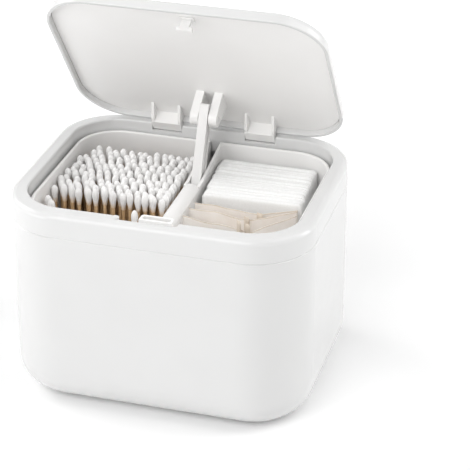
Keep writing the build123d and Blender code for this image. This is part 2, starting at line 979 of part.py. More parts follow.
def sachet_spines():
    """Left end, crease and right end of each sachet in plan, set before the front pad."""
    front = cotton_rear() - (pad_count - 1) * cotton_pitch_left - cotton_thick
    spines = []
    for number in range(len(sachet_left_gap)):
        left = divider_right + sachet_left_gap[number]
        right = inner_half - sachet_right_gap[number]
        crease = left + sachet_crease_share[number] * (right - left)
        spines.append(
            (
                (left, front - sachet_left_before[number]),
                (crease, front - sachet_crease_before[number]),
                (right, front - sachet_right_before[number]),
            )
        )
    return spines


def make_sachet(spine):
    """Thin upright pack that bends at its crease."""
    outline = trace(Polyline(*spine), sachet_thick)
    return extrude(Pos(0, 0, contents_bottom) * outline, sachet_height, dir=(0, 0, 1))


def write(name, shape):
    """Write one node, from one solid or a list of them."""
    solids = []
    for piece in shape if isinstance(shape, list) else [shape]:
        solids.extend(piece.solids())
    model = solids[0] if len(solids) == 1 else Compound(children=solids)
    export_step(model, f"parts/{name}.step")


def main():
    os.makedirs("parts", exist_ok=True)
    write("outer_shell", make_outer_shell())
    write("top_ring", make_top_ring())
    write("front_catch", make_front_catch())
    write("hinge_pins", make_hinge_pins())
    write("guide_rail_right", make_guide_rail(1))
    write("guide_rail_left", make_guide_rail(-1))
    write("foot_pads", make_foot_pads())
    write("lid_cover", make_lid_cover())
    write("lid_liner", make_lid_liner())
    write("latch_hook", make_latch_hook())
    write("arm_top_pin", make_arm_top_pin())
    write("lift_arm", make_lift_arm())
    write("arm_low_pin", make_arm_low_pin())
    write("tray", make_tray())
    write("channel_cover", make_channel_cover())
    swab_groups = {
        "swab": standing_places(),
        "leaning_swab": leaning_places(),
        "low_swab": low_place(),
    }
    for name, places in swab_groups.items():
        sticks, heads = make_swabs(places)
        write(f"{name}_sticks", sticks)
        write(f"{name}_tips", heads)
        print(name, len(places))
    write("cotton_pads", make_cotton_pads())
    for number, spine in enumerate(sachet_spines(), start=1):
        write(f"sachet_{number}", make_sachet(spine))


main()
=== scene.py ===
# %% [markdown]
# # A cotton pad dispenser with a lid that lifts its tray
# The engineering model holds every hard piece with its real size, so this lesson starts by loading it. Its
# pieces stay where they are and get better materials. Only the soft goods in the tray are made new.
# Everything is in metres, with the front facing -Y and the table at height 0.

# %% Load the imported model
import json
import math
import random

import bmesh
import bpy
import numpy as np
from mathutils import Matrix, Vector, noise


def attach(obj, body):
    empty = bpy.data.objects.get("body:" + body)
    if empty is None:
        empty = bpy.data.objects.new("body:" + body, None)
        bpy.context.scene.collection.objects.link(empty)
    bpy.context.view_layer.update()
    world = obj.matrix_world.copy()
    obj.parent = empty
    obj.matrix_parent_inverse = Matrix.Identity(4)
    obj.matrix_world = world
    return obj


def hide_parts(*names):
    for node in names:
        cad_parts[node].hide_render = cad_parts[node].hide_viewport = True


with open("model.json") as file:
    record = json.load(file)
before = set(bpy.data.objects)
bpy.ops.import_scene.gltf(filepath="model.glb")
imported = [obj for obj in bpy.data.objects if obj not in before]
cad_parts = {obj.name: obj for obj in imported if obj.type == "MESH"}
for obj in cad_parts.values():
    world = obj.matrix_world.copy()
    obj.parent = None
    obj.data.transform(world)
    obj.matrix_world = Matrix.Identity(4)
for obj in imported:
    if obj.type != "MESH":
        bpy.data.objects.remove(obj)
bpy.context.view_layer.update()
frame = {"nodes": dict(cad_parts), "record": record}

nodes = frame["nodes"]
print("pieces in the model:", len(nodes))

# %% [markdown]
# ## Camera
# The box was photographed from the front, a little from the right and from above. A long lens keeps its
# upright edges nearly parallel, as in a catalogue picture. The three angles of the camera could be worked
# out by hand, but `to_track_quat` is simpler, because it only needs the point that the camera looks at.

# %% Camera at the photograph's angle
def linked_object(name, data):
    """Put a camera, a lamp or a mesh into the scene under a name."""
    thing = bpy.data.objects.new(name, data)
    bpy.context.scene.collection.objects.link(thing)
    return thing


looked_at = Vector((0.0312, 0.0, 0.0878))
camera_place = Vector((0.29214, -0.89998, 0.58305))
line_of_sight = looked_at - camera_place

lens = bpy.data.cameras.new("catalogue_camera")
lens.lens = 142.0
lens.sensor_width = 36.0
camera = linked_object("catalogue_camera", lens)
camera.location = camera_place
camera.rotation_euler = line_of_sight.to_track_quat("-Z", "Y").to_euler()
bpy.context.scene.camera = camera
print("camera distance in metres:", round(line_of_sight.length, 3))

# %% [markdown]
# ## Table
# The box stands on a white sheet, as in a catalogue picture. A ready-made plane would do, but every soft
# piece below is built with `bmesh`, and this sheet shows that tool at its simplest: open a builder, let it
# make a grid, write the result to a mesh. The sheet isn't part of the box.

# %% Floor sheet
floor_half = 4.0

floor_mesh = bpy.data.meshes.new("table_top")
builder = bmesh.new()
bmesh.ops.create_grid(builder, x_segments=4, y_segments=4, size=floor_half)
builder.to_mesh(floor_mesh)
builder.free()
floor = linked_object("table_top", floor_mesh)
print("floor is", 2 * floor_half, "metres wide")

# %% [markdown]
# ## A ground that stays white
# The ground has to be white and still keep a soft shadow. Stronger lamps would whiten it, but they would
# bleach the box as well. So the sheet is matt and white and takes the lamps' light, and it also glows for
# the camera and for reflections alone, which adds no light to the box. The glow is painted light: faint
# beside the box, so the shadow at its foot stays dark, and growing with distance, so it whitens away the
# wider shadow that the lamps throw further out, and the far edge of the sheet can't be told from the sky.

# %% Matt white ground
def material_with_shader(name):
    """A new material, its node tree and its main shader."""
    material = bpy.data.materials.new(name)
    material.use_nodes = True
    return material, material.node_tree, material.node_tree.nodes["Principled BSDF"]


def larger_of(tree, first, second):
    """The larger of two values."""
    pick = tree.nodes.new("ShaderNodeMath")
    pick.operation = "MAXIMUM"
    tree.links.new(first, pick.inputs[0])
    tree.links.new(second, pick.inputs[1])
    return pick.outputs[0]


def remap(tree, value, source, target):
    """A node that stretches one range of numbers onto another."""
    stretch = tree.nodes.new("ShaderNodeMapRange")
    for name, number in zip(("From Min", "From Max", "To Min", "To Max"), (*source, *target)):
        stretch.inputs[name].default_value = number
    tree.links.new(value, stretch.inputs["Value"])
    return stretch


# Painted light on the ground: its glow grows away from the box and whitens the shadow there.
glow_reach = (0.16, 1.10)
glow_strength = (0.045, 0.70)

floor_paint, tree, shader = material_with_shader("white_ground")
shader.inputs["Base Color"].default_value = (0.94, 0.94, 0.94, 1.0)
shader.inputs["Roughness"].default_value = 0.9
shader.inputs["Specular IOR Level"].default_value = 0.0
shader.inputs["Emission Color"].default_value = (1.0, 1.0, 1.0, 1.0)
place = tree.nodes.new("ShaderNodeTexCoord")
from_box = tree.nodes.new("ShaderNodeVectorMath")
from_box.operation = "LENGTH"
tree.links.new(place.outputs["Object"], from_box.inputs[0])
with_distance = remap(tree, from_box.outputs["Value"], glow_reach, glow_strength)
with_distance.interpolation_type = "SMOOTHSTEP"
ray = tree.nodes.new("ShaderNodeLightPath").outputs
glow = tree.nodes.new("ShaderNodeMath")
glow.operation = "MULTIPLY"
tree.links.new(larger_of(tree, ray["Is Camera Ray"], ray["Is Glossy Ray"]), glow.inputs[0])
tree.links.new(with_distance.outputs["Result"], glow.inputs[1])
tree.links.new(glow.outputs[0], shader.inputs["Emission Strength"])
floor.data.materials.append(floor_paint)
print("the glow grows from", glow_strength[0], "to", glow_strength[1], "over", glow_reach, "metres")

# %% [markdown]
# ## Lamps
# White plastic needs light from several sides, or its faces turn grey, but the lamps need gaps between
# them, or the corners vanish. One big lamp would be simpler and flatter. Here a lamp in front and above
# lights the face and reaches into the tray under the lid. A low one at the left and a tall strip at the
# right leave a soft grey band down the corner between them. Two more, at the rear left and the right, thin
# out the shadows on the ground.

# %% Lamps
lamp_target = Vector((0.0, 0.0, 0.1))


def soft_lamp(name, azimuth, elevation, distance, width, height, power):
    """Area lamp placed by its compass direction and its height in degrees, and aimed at the box."""
    lamp = bpy.data.lights.new(name, "AREA")
    lamp.shape = "RECTANGLE"
    lamp.size = width
    lamp.size_y = height
    lamp.energy = power
    turn, rise = math.radians(azimuth), math.radians(elevation)
    away = Vector((math.sin(turn) * math.cos(rise), -math.cos(turn) * math.cos(rise), math.sin(rise)))
    holder = linked_object(name, lamp)
    holder.location = lamp_target + away * distance
    holder.rotation_euler = (-away).to_track_quat("-Z", "Y").to_euler()


soft_lamp("left_lamp", azimuth=-50, elevation=5, distance=1.7, width=1.1, height=0.9, power=7.8)
soft_lamp("corner_strip", azimuth=112, elevation=12, distance=1.5, width=0.5, height=1.3, power=8.8)
soft_lamp("front_lamp", azimuth=-12, elevation=40, distance=1.8, width=1.1, height=1.1, power=12.6)
soft_lamp("right_lamp", azimuth=96, elevation=55, distance=1.8, width=1.1, height=1.1, power=8.8)
soft_lamp("rear_lamp", azimuth=-100, elevation=35, distance=1.8, width=1.1, height=1.1, power=12.0)

# %% [markdown]
# ## Sky
# A pale sky fills what the lamps leave dark. A studio could be built from white walls, but one colour all
# round is quicker and has no edges. The camera, reflections and glass see it at full white, while it lights
# the box at less than half of that, so the lamps still give the white plastic its shape.

# %% Pale sky
sky_light = 0.42

sky = bpy.data.worlds.new("pale_studio")
bpy.context.scene.world = sky
sky.use_nodes = True
tree = sky.node_tree
background = tree.nodes["Background"]
background.inputs["Color"].default_value = (1.0, 1.0, 1.0, 1.0)
ray = tree.nodes.new("ShaderNodeLightPath").outputs
shown = larger_of(tree, ray["Is Camera Ray"], ray["Is Glossy Ray"])
shown = larger_of(tree, shown, ray["Is Transmission Ray"])
level = remap(tree, shown, (0.0, 1.0), (sky_light, 1.0))
tree.links.new(level.outputs["Result"], background.inputs["Strength"])
bpy.context.scene.view_settings.view_transform = "Standard"
print("the sky shows as 1.0 and lights the box at", sky_light)

# %% [markdown]
# ## Rubber feet
# Four thin feet of soft grey rubber stop the box from sliding, and rubber has a fine tooth. A scanned
# texture would show it, but noise made by nodes needs no file and has its size in metres, because it reads
# object coordinates. The four helpers here serve every finish below: a noise of a given size, a colour and
# a roughness that wander with it, and a bump that it raises.

# %% Noise, colour, roughness and bump, tried on the feet
mm = 0.001
ramp_ends = (0.3, 0.7)


def noise_node(tree, size, detail, stretch=(1.0, 1.0, 1.0)):
    """Noise with lumps of about `size` metres, made longer or shorter along each axis by `stretch`."""
    place = tree.nodes.new("ShaderNodeTexCoord")
    scaled = tree.nodes.new("ShaderNodeMapping")
    scaled.inputs["Scale"].default_value = [1.0 / (size * s) for s in stretch]
    texture = tree.nodes.new("ShaderNodeTexNoise")
    texture.inputs["Scale"].default_value = 1.0
    texture.inputs["Detail"].default_value = detail
    tree.links.new(place.outputs["Object"], scaled.inputs["Vector"])
    tree.links.new(scaled.outputs["Vector"], texture.inputs["Vector"])
    return texture


def vary_colour(tree, shader, texture, dark, light):
    """Let the colour wander between two close tones."""
    ramp = tree.nodes.new("ShaderNodeValToRGB")
    for stop, position, tone in zip(ramp.color_ramp.elements, ramp_ends, (dark, light)):
        stop.position = position
        stop.color = (*tone, 1.0)
    tree.links.new(texture.outputs["Fac"], ramp.inputs["Fac"])
    tree.links.new(ramp.outputs["Color"], shader.inputs["Base Color"])


def vary_roughness(tree, shader, texture, low, high):
    """Let the roughness wander between two values."""
    spread = remap(tree, texture.outputs["Fac"], ramp_ends, (low, high))
    tree.links.new(spread.outputs["Result"], shader.inputs["Roughness"])


def add_bump(tree, shader, texture, height):
    """Raise the surface by a texture, on top of any bump that is there already."""
    bump = tree.nodes.new("ShaderNodeBump")
    bump.inputs["Strength"].default_value = 1.0
    bump.inputs["Distance"].default_value = height
    tree.links.new(texture.outputs[0], bump.inputs["Height"])
    before = shader.inputs["Normal"].links
    if before:
        tree.links.new(before[0].from_socket, bump.inputs["Normal"])
    tree.links.new(bump.outputs["Normal"], shader.inputs["Normal"])


foot_rubber, tree, shader = material_with_shader("soft_grey_rubber")
tooth = noise_node(tree, 0.7 * mm, detail=4.0)
vary_colour(tree, shader, tooth, (0.50, 0.50, 0.49), (0.58, 0.58, 0.57))
vary_roughness(tree, shader, tooth, 0.62, 0.80)
add_bump(tree, shader, tooth, 0.03 * mm)
print(foot_rubber.name, "has", len(tree.nodes), "nodes")

# %% [markdown]
# ## Steel pins
# The hinge pins and the pins of the arm are ground steel rod. Grinding leaves fine rings round a rod, which
# could be cut into the mesh, but they are far too fine for that. Noise that is squeezed along the pin's
# length draws them instead, and it moves the roughness too, so the shine breaks up as it does on real rod.

# %% Ground steel
pin_steel, tree, shader = material_with_shader("ground_pin_steel")
shader.inputs["Metallic"].default_value = 1.0
rings = noise_node(tree, 0.8 * mm, detail=3.0, stretch=(0.15, 1.0, 1.0))
vary_colour(tree, shader, rings, (0.82, 0.82, 0.82), (0.90, 0.90, 0.90))
vary_roughness(tree, shader, rings, 0.22, 0.38)
add_bump(tree, shader, rings, 0.006 * mm)
print(pin_steel.name, "has", len(tree.nodes), "nodes")

# %% [markdown]
# ## White mouldings
# The box is injection-moulded. Its outside comes from a polished mould, so it is glossy with a faint
# waviness that breaks up long reflections, while the inside and the arm come from a finely blasted mould
# and look silky. Their tones aren't the plastic's own: the inside is set far lighter than the outside,
# painted light that makes up for the shade of the walls and the lid, and the outside is set lower, painted
# shade against the strong lamps on its front. The arm and the cap of its channel get a darker white,
# painted shade where they stand up into the light. Four separate materials would do, but all are one recipe
# with other
# numbers: a nearly even white, a noise that moves the roughness, and two bumps, one broad and one fine.

# %% White plastics
def moulded_white(name, tone, rough, wave_height, grain_size, grain_height):
    """White moulded plastic: `tone` is its lightest colour, `rough` its lowest roughness."""
    material, tree, shader = material_with_shader(name)
    shader.inputs["IOR"].default_value = 1.49
    clouds = noise_node(tree, 30 * mm, detail=1.0)
    waves = noise_node(tree, 12 * mm, detail=0.0)
    grain = noise_node(tree, grain_size, detail=2.0)
    vary_colour(tree, shader, clouds, [0.985 * c for c in tone], tone)
    vary_roughness(tree, shader, grain, rough, 1.35 * rough)
    add_bump(tree, shader, waves, wave_height)
    add_bump(tree, shader, grain, grain_height)
    return material


# Painted light and shade: the outside's tone is set low against the strong lamps, the inside's far higher
# for the shade inside the box.
gloss_white = moulded_white(
    "gloss_white_moulding", (0.72, 0.72, 0.717), rough=0.13,
    wave_height=0.04 * mm, grain_size=1.6 * mm, grain_height=0.004 * mm,
)
satin_white = moulded_white(
    "satin_white_moulding", (0.92, 0.912, 0.901), rough=0.36,
    wave_height=0.02 * mm, grain_size=0.5 * mm, grain_height=0.01 * mm,
)
# Painted shade: the arm and its channel's cap get a darker copy of the inside's white.
arm_shaded_white = moulded_white(
    "arm_painted_shade_moulding", (0.84, 0.832, 0.822), rough=0.34,
    wave_height=0.02 * mm, grain_size=0.5 * mm, grain_height=0.01 * mm,
)
rail_white = moulded_white(
    "rail_white_moulding", (0.74, 0.74, 0.73), rough=0.30,
    wave_height=0.02 * mm, grain_size=0.8 * mm, grain_height=0.008 * mm,
)
print("white plastics:", [m.name for m in (gloss_white, satin_white, arm_shaded_white, rail_white)])

# %% [markdown]
# ## Finishes on the hard pieces
# Each hard piece of the model already has its right shape, so it only needs a finish. They could be given
# one by one, but the model's record names a material slot for every piece, and a table from slot to finish
# does them all. The arm and its channel's cap share a slot with the tray, and get their own darker white,
# which is painted shade, by name.

# %% Put the finishes on the model's own pieces
finish_of_slot = {
    "gloss_white": gloss_white,
    "satin_white": satin_white,
    "rail_white": rail_white,
    "pin_steel": pin_steel,
    "foot_rubber": foot_rubber,
}
finish_of_node = {"lift_arm": arm_shaded_white, "channel_cover": arm_shaded_white}
for part in frame["record"]["subparts"]:
    finish = finish_of_node.get(part["node"], finish_of_slot.get(part["material_slot"]))
    if finish is not None:
        piece = nodes[part["node"]]
        piece.data.materials.clear()
        piece.data.materials.append(finish)
        print(part["node"], "->", finish.name)

# %% [markdown]
# ## Where the swabs stand
# Each swab is a thin wooden stick with cotton wound round both ends, and they lean a little against each
# other. Their places could be typed in, but the model's sticks already hold them: a mesh falls apart into
# its separate sticks by walking along its edges, and the longest axis of each stick's points is the swab's
# axis. The tips then sway by half a millimetre and rise unevenly, because nobody stands swabs in perfect
# rows.

# %% Find the swabs
def loose_parts(node_name):
    """Points of every separate solid of a node, one array for each."""
    builder = bmesh.new()
    builder.from_mesh(nodes[node_name].data)
    bmesh.ops.remove_doubles(builder, verts=builder.verts, dist=0.001 * mm)
    reached = set()
    parts = []
    for start in builder.verts:
        if start in reached:
            continue
        reached.add(start)
        waiting = [start]
        group = []
        while waiting:
            corner = waiting.pop()
            group.append(corner.co[:])
            for edge in corner.link_edges:
                other = edge.other_vert(corner)
                if other not in reached:
                    reached.add(other)
                    waiting.append(other)
        parts.append(np.array(group))
    builder.free()
    return parts


def stick_ends(points):
    """Low and high end of one stick."""
    middle = (points.min(axis=0) + points.max(axis=0)) / 2
    axis = np.linalg.svd(points - points.mean(axis=0))[2][0]
    axis = axis if axis[2] > 0 else -axis
    along = (points - middle) @ axis
    return Vector(middle + axis * along.min()), Vector(middle + axis * along.max())


sway_reach = 0.5 * mm
rise_range = (-1.0 * mm, 0.3 * mm)
uneven = random.Random(11)
swab_ends = []
for node_name in ("swab_sticks", "leaning_swab_sticks", "low_swab_sticks"):
    sticks = [stick_ends(points) for points in loose_parts(node_name)]
    for foot, tip in sorted(sticks, key=lambda ends: (round(ends[0].y, 5), round(ends[0].x, 5))):
        sway = Vector((uneven.uniform(-1, 1), uneven.uniform(-1, 1), 0.0)) * sway_reach
        rise = (tip - foot).normalized() * uneven.uniform(*rise_range)
        swab_ends.append((foot, tip + sway + rise))
first_foot, first_tip = swab_ends[0]
print("swabs:", len(swab_ends), "bare length in mm:", round((first_tip - first_foot).length / mm, 1))

# %% [markdown]
# ## Outline of a cotton head
# A head is a drop: slender where the cotton starts on the wood, fullest past its middle and round at its
# end. A squashed sphere would be quicker, but it has no neck, and the neck is what makes it a swab. Two
# simple curves meet at the fullest point instead, and turning them round the swab's axis gives the shape.

# %% Radius along a head
head_length = 10.4 * mm
head_full = 2.12 * mm
head_neck = 1.20 * mm
fullest = 0.64


def head_radius(share, neck, full):
    """Radius of a head at a share of its length."""
    if share < fullest:
        part = share / fullest
        return neck + (full - neck) * (part * part * (3 - 2 * part)) ** 1.15
    part = (share - fullest) / (1 - fullest)
    return full * math.sqrt(max(0.0, 1 - part**2.2))


samples = [round(head_radius(share, head_neck, head_full) / mm, 2) for share in (0.0, fullest, 0.9)]
print("head radius in mm at the neck, the fullest point and near the end:", samples)

# %% [markdown]
# ## Rings round an axis
# A head and a stick are both rings of points round an axis, so one small function makes either. Blender's
# screw modifier turns an outline too, but not one with lumps. The function takes pairs of distance along
# the axis and radius, joins each ring to the next with quads, and lets `ripple` add its own radius at every
# point. A closed mesh has an inside, so its volume comes out negative when its faces look inwards, and then
# they are turned over.

# %% Skin over rings
head_sides = 14
head_rings = 15


def ring_surface(builder, start, axis, outline, sides, spin, ripple):
    """Skin over rings round an axis; `ripple` gives extra radius at (angle, share of the length)."""
    side_way = axis.orthogonal().normalized()
    other_way = axis.cross(side_way)
    whole = outline[-1][0]
    rings = []
    for distance, radius in outline:
        ring = []
        for number in range(sides):
            angle = spin + 2 * math.pi * number / sides
            reach = radius + ripple(angle, distance / whole) if radius > 0 else 0.0
            out = side_way * math.cos(angle) + other_way * math.sin(angle)
            ring.append(builder.verts.new(start + axis * distance + out * reach))
        rings.append(ring)
    for low, high in zip(rings, rings[1:]):
        for number in range(sides):
            after = (number + 1) % sides
            builder.faces.new((low[number], low[after], high[after], high[number]))
    return rings


def smooth_mesh(builder, name):
    """Turn a builder into a smooth-shaded mesh with its faces looking outwards."""
    bmesh.ops.remove_doubles(builder, verts=builder.verts, dist=0.0001 * mm)
    bmesh.ops.recalc_face_normals(builder, faces=builder.faces)
    if builder.calc_volume(signed=True) < 0:
        bmesh.ops.reverse_faces(builder, faces=builder.faces)
    mesh = bpy.data.meshes.new(name)
    builder.to_mesh(mesh)
    builder.free()
    for face in mesh.polygons:
        face.use_smooth = True
    return mesh


spacing = 2 * math.pi * head_full / head_sides
print("points lie", round(spacing / mm, 2), "mm apart round the fullest part of a head")

# %% [markdown]
# ## Cotton heads
# Machines wind the cotton on while the stick turns, so each head is a little uneven and keeps a shallow
# spiral. One head could be copied three hundred times, but the eye finds copies at once, so each is wound
# anew with its own numbers. Every corner also keeps how thin the cotton is there, for the wood to show
# through near the neck.

# %% Wind the cotton heads
tuck = 0.4 * mm
lump_depth = 0.10 * mm
spiral_depth = 0.03 * mm
dice = random.Random(5)


def wind_head(builder, neck_middle, away):
    """One cotton head from the neck outwards."""
    full = head_full * dice.uniform(0.93, 1.03)
    neck = head_neck * dice.uniform(0.97, 1.06)
    length = head_length * dice.uniform(0.95, 1.0)
    turns = dice.uniform(2.2, 3.4)
    seed = Vector((dice.uniform(0, 50), dice.uniform(0, 50), dice.uniform(0, 50)))

    def ripple(angle, share):
        lumps = noise.noise(seed + Vector((math.cos(angle), math.sin(angle), share * 3.0)) * 0.9)
        spiral = math.sin(angle + turns * 2 * math.pi * share) * (1 - share)
        return lump_depth * lumps * min(1.0, 4 * (1 - share)) + spiral_depth * spiral

    outline = [(0.0, 0.0), (0.0, 0.80 * neck), (tuck, neck)]
    for number in range(1, head_rings):
        share = math.sin(0.5 * math.pi * number / (head_rings - 1))
        outline.append((tuck + share * length, head_radius(share, neck, full)))
    spin = dice.uniform(0, 6)
    rings = ring_surface(builder, neck_middle - away * tuck, away, outline, head_sides, spin, ripple)
    thin = builder.verts.layers.float["thin_cotton"]
    fade_length = length * dice.uniform(0.34, 0.46)
    for (distance, _), ring in zip(outline, rings):
        for corner in ring:
            corner[thin] = max(0.0, 1 - distance / fade_length)


builder = bmesh.new()
builder.verts.layers.float.new("thin_cotton")
for foot, tip in swab_ends:
    along = (tip - foot).normalized()
    wind_head(builder, tip, along)
    wind_head(builder, foot, -along)
swab_heads = linked_object("swab_heads", smooth_mesh(builder, "swab_heads"))
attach(swab_heads, "tray")
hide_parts("swab_tips", "leaning_swab_tips", "low_swab_tips")
print("heads:", 2 * len(swab_ends), "faces:", len(swab_heads.data.polygons))

# %% [markdown]
# ## Sticks
# The sticks are birch or bamboo, straight and slightly uneven in thickness. Plain cylinders would look
# turned from metal, so the same rings get a faint noise along the grain. They reach a few millimetres up
# inside the cotton, so no gap can show at the neck.

# %% Turn the sticks
hidden_in_head = 3 * mm
stick_radius = 1.1 * mm
stick_rings = 9
stick_sides = 10
grain_depth = 0.04 * mm


def turn_stick(builder, foot, tip):
    """One stick, closed at both ends."""
    along = (tip - foot).normalized()
    length = (tip - foot).length + 2 * hidden_in_head
    seed = Vector((dice.uniform(0, 50), dice.uniform(0, 50), 0.0))
    radius = stick_radius * dice.uniform(0.94, 1.02)

    def grain(angle, share):
        return grain_depth * noise.noise(seed + Vector((math.cos(angle), math.sin(angle), share * 4.0)))

    outline = [(length * number / (stick_rings - 1), radius) for number in range(stick_rings)]
    outline = [(0.0, 0.0), *outline, (length, 0.0)]
    start = foot - along * hidden_in_head
    ring_surface(builder, start, along, outline, stick_sides, dice.uniform(0, 6), grain)


builder = bmesh.new()
for foot, tip in swab_ends:
    turn_stick(builder, foot, tip)
swab_shafts = linked_object("swab_shafts", smooth_mesh(builder, "swab_shafts"))
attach(swab_shafts, "tray")
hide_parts("swab_sticks", "leaning_swab_sticks", "low_swab_sticks")
print("sticks:", len(swab_ends), "faces:", len(swab_shafts.data.polygons))

# %% [markdown]
# ## Cotton
# Cotton is white and matt, and its loose fibres catch light at the rim. Real fibres could be grown as hair,
# but on heads of four millimetres sheen does the same for far less. The bump has two scales, tufts of about
# a millimetre and fibres far finer. Near the neck the colour blends to the wood's by the thinness kept
# above.

# %% Wound cotton
def cotton_finish(name, dark, light, tuft_height, fibre_height):
    """Matt white cotton with tufts and fibres."""
    material, tree, shader = material_with_shader(name)
    shader.inputs["Specular IOR Level"].default_value = 0.2
    shader.inputs["Sheen Weight"].default_value = 0.25
    shader.inputs["Sheen Roughness"].default_value = 0.6
    tufts = noise_node(tree, 1.1 * mm, detail=3.0)
    fibres = noise_node(tree, 0.22 * mm, detail=4.0, stretch=(1.0, 1.0, 2.5))
    vary_colour(tree, shader, tufts, dark, light)
    vary_roughness(tree, shader, fibres, 0.82, 0.97)
    add_bump(tree, shader, tufts, tuft_height)
    add_bump(tree, shader, fibres, fibre_height)
    return material


def show_wood_through(material, wood):
    """Blend the colour towards the wood's where the mesh says that the cotton is thin."""
    tree = material.node_tree
    shader = tree.nodes["Principled BSDF"]
    cotton_colour = shader.inputs["Base Color"].links[0].from_socket
    thin = tree.nodes.new("ShaderNodeAttribute")
    thin.attribute_name = "thin_cotton"
    blend = tree.nodes.new("ShaderNodeMix")
    blend.data_type = "RGBA"
    from_colour, to_colour = [socket for socket in blend.inputs if socket.type == "RGBA"]
    to_colour.default_value = (*wood, 1.0)
    tree.links.new(thin.outputs["Fac"], blend.inputs[0])
    tree.links.new(cotton_colour, from_colour)
    mixed = [socket for socket in blend.outputs if socket.type == "RGBA"][0]
    tree.links.new(mixed, shader.inputs["Base Color"])


swab_cotton = cotton_finish(
    "wound_cotton", (0.90, 0.89, 0.88), (0.95, 0.945, 0.94), tuft_height=0.06 * mm, fibre_height=0.03 * mm
)
show_wood_through(swab_cotton, (0.72, 0.52, 0.32))
swab_heads.data.materials.append(swab_cotton)
print(swab_cotton.name, "has", len(swab_cotton.node_tree.nodes), "nodes")

# %% [markdown]
# ## Wood
# The sticks show pale tan wood with a grain that runs along them. A wave texture gives even stripes, which
# suit a plank but not a thin turned stick. Noise that is stretched twelve times upwards gives short broken
# lines.

# %% Smooth bamboo
bamboo, tree, shader = material_with_shader("smooth_bamboo")
grain_lines = noise_node(tree, 0.6 * mm, detail=4.0, stretch=(1.0, 1.0, 12.0))
vary_colour(tree, shader, grain_lines, (0.42, 0.25, 0.11), (0.66, 0.46, 0.26))
vary_roughness(tree, shader, grain_lines, 0.48, 0.66)
add_bump(tree, shader, grain_lines, 0.03 * mm)
swab_shafts.data.materials.append(bamboo)
print(bamboo.name, "has", len(tree.nodes), "nodes")

# %% [markdown]
# ## Where the pads stand
# The pads stand on edge, one behind the other. Here too the model holds the place and the turn of each, and
# the walk along the edges from above finds them. A pad's two narrow ends give the line that it stands on.

# %% Find the pads
def ends_in_plan(points, depth):
    """Middle of the points within `depth` of the left end, and of those near the right end."""
    low_x, high_x = points[:, 0].min(), points[:, 0].max()
    left = points[points[:, 0] < low_x + depth].mean(axis=0)
    right = points[points[:, 0] > high_x - depth].mean(axis=0)
    return Vector((left[0], left[1], 0.0)), Vector((right[0], right[1], 0.0))


pad_end = 2 * mm
pads = sorted(loose_parts("cotton_pads"), key=lambda points: points[:, 1].mean())
left, right = ends_in_plan(pads[0], pad_end)
turn = math.degrees(math.atan2(right.y - left.y, right.x - left.x))
print("pads:", len(pads), "the front one is turned by", round(turn, 1), "degrees")

# %% [markdown]
# ## Cotton pads
# A pad is pressed cotton wool about two millimetres thick, soft at its rim. Stacked on edge, the pads bulge
# into one another. A cloth simulation would find that shape, but twenty-two of them would take minutes. So
# each is a thin pillow of two grids, fullest in its middle and pinched to nothing at its rim. Each stands a
# little higher or lower than the next, and its top edge waves.

# %% Shape of one pad
pad_half_width = 29.5 * mm
pad_half_thick = 1.09 * mm
pad_drift = 0.16 * mm
pad_ragged = 0.4 * mm
pad_steps = 30
pinch_from = 0.95


def crowded(share):
    """Draw grid lines closer together towards both rims."""
    return 0.35 * math.sin(share * math.pi / 2) + 0.65 * share


def pad_point(seed, u, v, half_height, lower):
    """Distances from a pad's middle across, up and through it, for u and v from -1 to 1."""
    corner = max(0.0, abs(u) - 0.9) * max(0.0, abs(v) - 0.9) * 4.0
    into_rim = max(0.0, (max(abs(u), abs(v)) - pinch_from) / (1 - pinch_from))
    pinch = math.sqrt(max(0.0, 1 - into_rim**2))
    wave = noise.noise(seed + Vector((u * 2.2, v * 2.2, 0.0)))
    drift = pad_drift * noise.noise(seed + Vector((u * 1.4, v * 1.1, 5.0)))
    ragged = pad_ragged * noise.noise(seed + Vector((u * 5.0, v * 5.0, 9.0)))
    thick = pad_half_thick * pinch * (0.96 + 0.035 * wave)
    across = u * pad_half_width * (1 - 0.6 * corner) + ragged * abs(u) ** 6
    up = v * half_height * (1 - 0.6 * corner)
    if v > 0:
        up += (ragged - lower) * v**6
    return across, up, thick, drift


sample = pad_point(Vector((0.0, 1.3, 8.1)), 0.0, 0.0, pad_half_width, 0.0)
print("a pad is about", round(2 * sample[2] / mm, 2), "mm thick in its middle")

# %% [markdown]
# ## Skins over grids
# Both the pads here and the paper packs below are two grids of points with quads between them, so one
# function lays the quads over a grid. Where a pad's two grids meet, at the pinched rim, their points fall
# together and are welded, which closes the pillow without any seam.

# %% Press the pads
def skin_grid(builder, grid, turned):
    """Quads over a grid of points, row by row; `turned` makes them look the other way."""
    quads = []
    for low, high in zip(grid, grid[1:]):
        for column in range(len(low) - 1):
            corners = (low[column], low[column + 1], high[column + 1], high[column])
            quads.append(builder.faces.new(corners[::-1] if turned else corners))
    return quads


def press_pad(builder, points, number):
    """One thin pillow in the place of a model pad."""
    middle = Vector((points.min(axis=0) + points.max(axis=0)) / 2)
    left, right = ends_in_plan(points, pad_end)
    across_way = (right - left).normalized()
    through_way = Vector((-across_way.y, across_way.x, 0.0))
    half_height = (points[:, 2].max() - points[:, 2].min()) / 2
    seed = Vector((number * 3.7, 1.3, 8.1))
    lower = 1.4 * mm * dice.random() ** 2
    shift = dice.uniform(-0.4 * mm, 0.4 * mm)
    marks = [crowded(2 * step / pad_steps - 1) for step in range(pad_steps + 1)]
    for face in (-1, 1):
        grid = []
        for v in marks:
            row = []
            for u in marks:
                across, up, thick, drift = pad_point(seed, u, v, half_height, lower)
                place = middle + across_way * (across + shift) + Vector((0, 0, up))
                row.append(builder.verts.new(place + through_way * (face * thick + drift)))
            grid.append(row)
        skin_grid(builder, grid, turned=face > 0)


